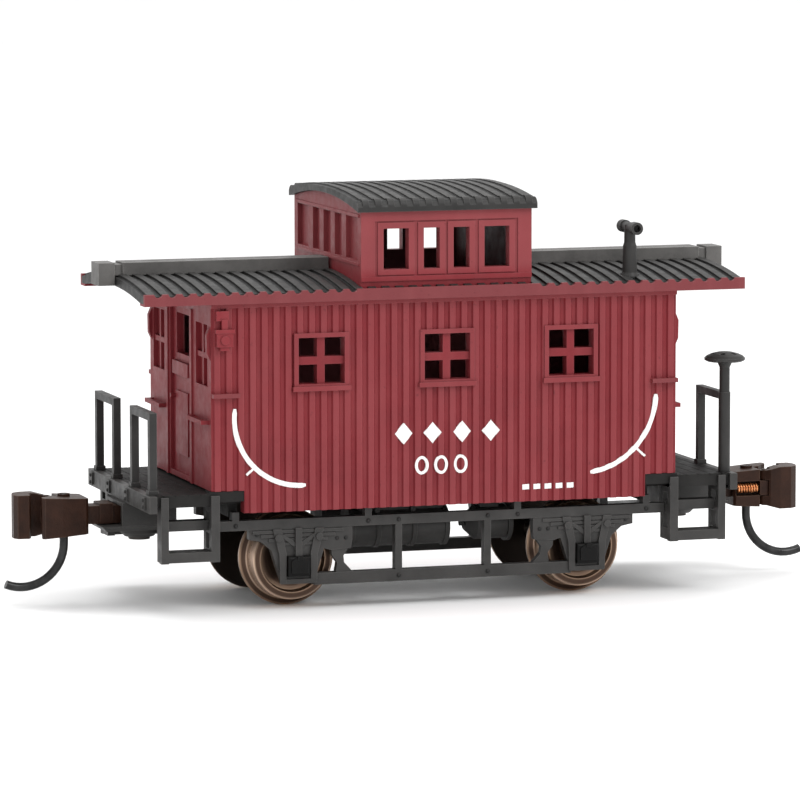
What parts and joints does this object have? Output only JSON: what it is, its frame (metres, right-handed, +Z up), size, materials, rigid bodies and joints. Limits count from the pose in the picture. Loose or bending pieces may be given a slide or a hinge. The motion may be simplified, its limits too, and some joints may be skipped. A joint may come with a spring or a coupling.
{
  "type": "model railway caboose",
  "caption": "Four-wheel model railway caboose with boarded sides, ribbed roof, windowed cupola, end platforms and knuckle couplers",
  "frame": {"origin": "centre of the base: midway between the two ends and the two sides, on the plane that the wheel flanges stand on", "axes": "+X along the car towards the end with the brake wheel, +Y across the car to the left of that, +Z up"},
  "size_m": [0.0564, 0.0166, 0.0275],
  "materials": {
    "red_body": "matte red, moulded in colour",
    "red_cupola": "matte red, moulded in colour",
    "black_roof": "matte black",
    "black_frame": "matte black, slightly dusty",
    "black_fitting": "matte black",
    "steel_weight": "plain steel, hidden",
    "axle_steel": "dull turned steel",
    "wheel_metal": "turned nickel-bronze rims, darkened between",
    "coupler_plastic": "matte black",
    "coupler_brown": "matte dark brown",
    "screw_steel": "blackened steel",
    "trip_wire": "blackened steel wire, worn bright",
    "spring_bronze": "phosphor bronze"
  },
  "bodies": {
    "car": {"body_shell": "red_body", "roof": "black_roof", "cupola_shell": "red_cupola", "cupola_roof": "black_roof", "smokestack": "black_fitting", "underframe": "black_frame", "ballast_weight": "steel_weight", "brake_staff": "black_fitting", "brake_wheel": "black_fitting", "brake_cylinder": "black_frame", "air_reservoir_near": "black_frame", "air_reservoir_far": "black_frame", "side_frame_near": "black_frame", "side_frame_far": "black_frame", "running_board_left": "black_roof", "end_beam_left": "black_frame", "coupler_box_left": "coupler_plastic", "coupler_cover_left": "coupler_plastic", "coupler_screw_left": "screw_steel", "marker_lamp_left": "red_body", "railing_left_near": "black_fitting", "step_left_near": "black_frame", "journal_box_left_near": "black_frame", "railing_left_far": "black_fitting", "step_left_far": "black_frame", "journal_box_left_far": "black_frame", "running_board_right": "black_roof", "end_beam_right": "black_frame", "coupler_box_right": "coupler_plastic", "coupler_cover_right": "coupler_plastic", "coupler_screw_right": "screw_steel", "marker_lamp_right": "red_body", "railing_right_near": "black_fitting", "step_right_near": "black_frame", "journal_box_right_near": "black_frame", "railing_right_far": "black_fitting", "step_right_far": "black_frame", "journal_box_right_far": "black_frame"},
    "wheelset_left": {"axle_left": "axle_steel", "wheel_left_near": "wheel_metal", "wheel_left_far": "wheel_metal"},
    "coupler_body_left": {"coupler_left": "coupler_brown", "knuckle_pin_left": "screw_steel", "trip_pin_left": "trip_wire", "coupler_spring_left": "spring_bronze"},
    "knuckle_body_left": {"knuckle_left": "coupler_brown"},
    "wheelset_right": {"axle_right": "axle_steel", "wheel_right_near": "wheel_metal", "wheel_right_far": "wheel_metal"},
    "coupler_body_right": {"coupler_right": "coupler_brown", "knuckle_pin_right": "screw_steel", "trip_pin_right": "trip_wire", "coupler_spring_right": "spring_bronze"},
    "knuckle_body_right": {"knuckle_right": "coupler_brown"}
  },
  "joints": [
    {"name": "wheelset_left_spin", "type": "hinge", "parent": "car", "child": "wheelset_left", "pos_m": [-0.01005, 0, 0.00325], "axis": [0, 1, 0], "continuous": true},
    {"name": "coupler_left_swing", "type": "hinge", "parent": "car", "child": "coupler_body_left", "pos_m": [-0.019, 0, 0.00605], "axis": [0, 0, 1], "range_deg": [-12, 12], "stiffness_Nm_per_rad": 0.002},
    {"name": "knuckle_left_open", "type": "hinge", "parent": "coupler_body_left", "child": "knuckle_body_left", "pos_m": [-0.0252, 0.00095, 0.00605], "axis": [0, 0, -1], "range_deg": [0, 25], "stiffness_Nm_per_rad": 0.0005, "springref_deg": -11.46},
    {"name": "wheelset_right_spin", "type": "hinge", "parent": "car", "child": "wheelset_right", "pos_m": [0.01005, 0, 0.00325], "axis": [0, 1, 0], "continuous": true},
    {"name": "coupler_right_swing", "type": "hinge", "parent": "car", "child": "coupler_body_right", "pos_m": [0.019, 0, 0.00605], "axis": [0, 0, 1], "range_deg": [-12, 12], "stiffness_Nm_per_rad": 0.002},
    {"name": "knuckle_right_open", "type": "hinge", "parent": "coupler_body_right", "child": "knuckle_body_right", "pos_m": [0.0252, -0.00095, 0.00605], "axis": [0, 0, -1], "range_deg": [0, 25], "stiffness_Nm_per_rad": 0.0005, "springref_deg": -11.46}
  ]
}
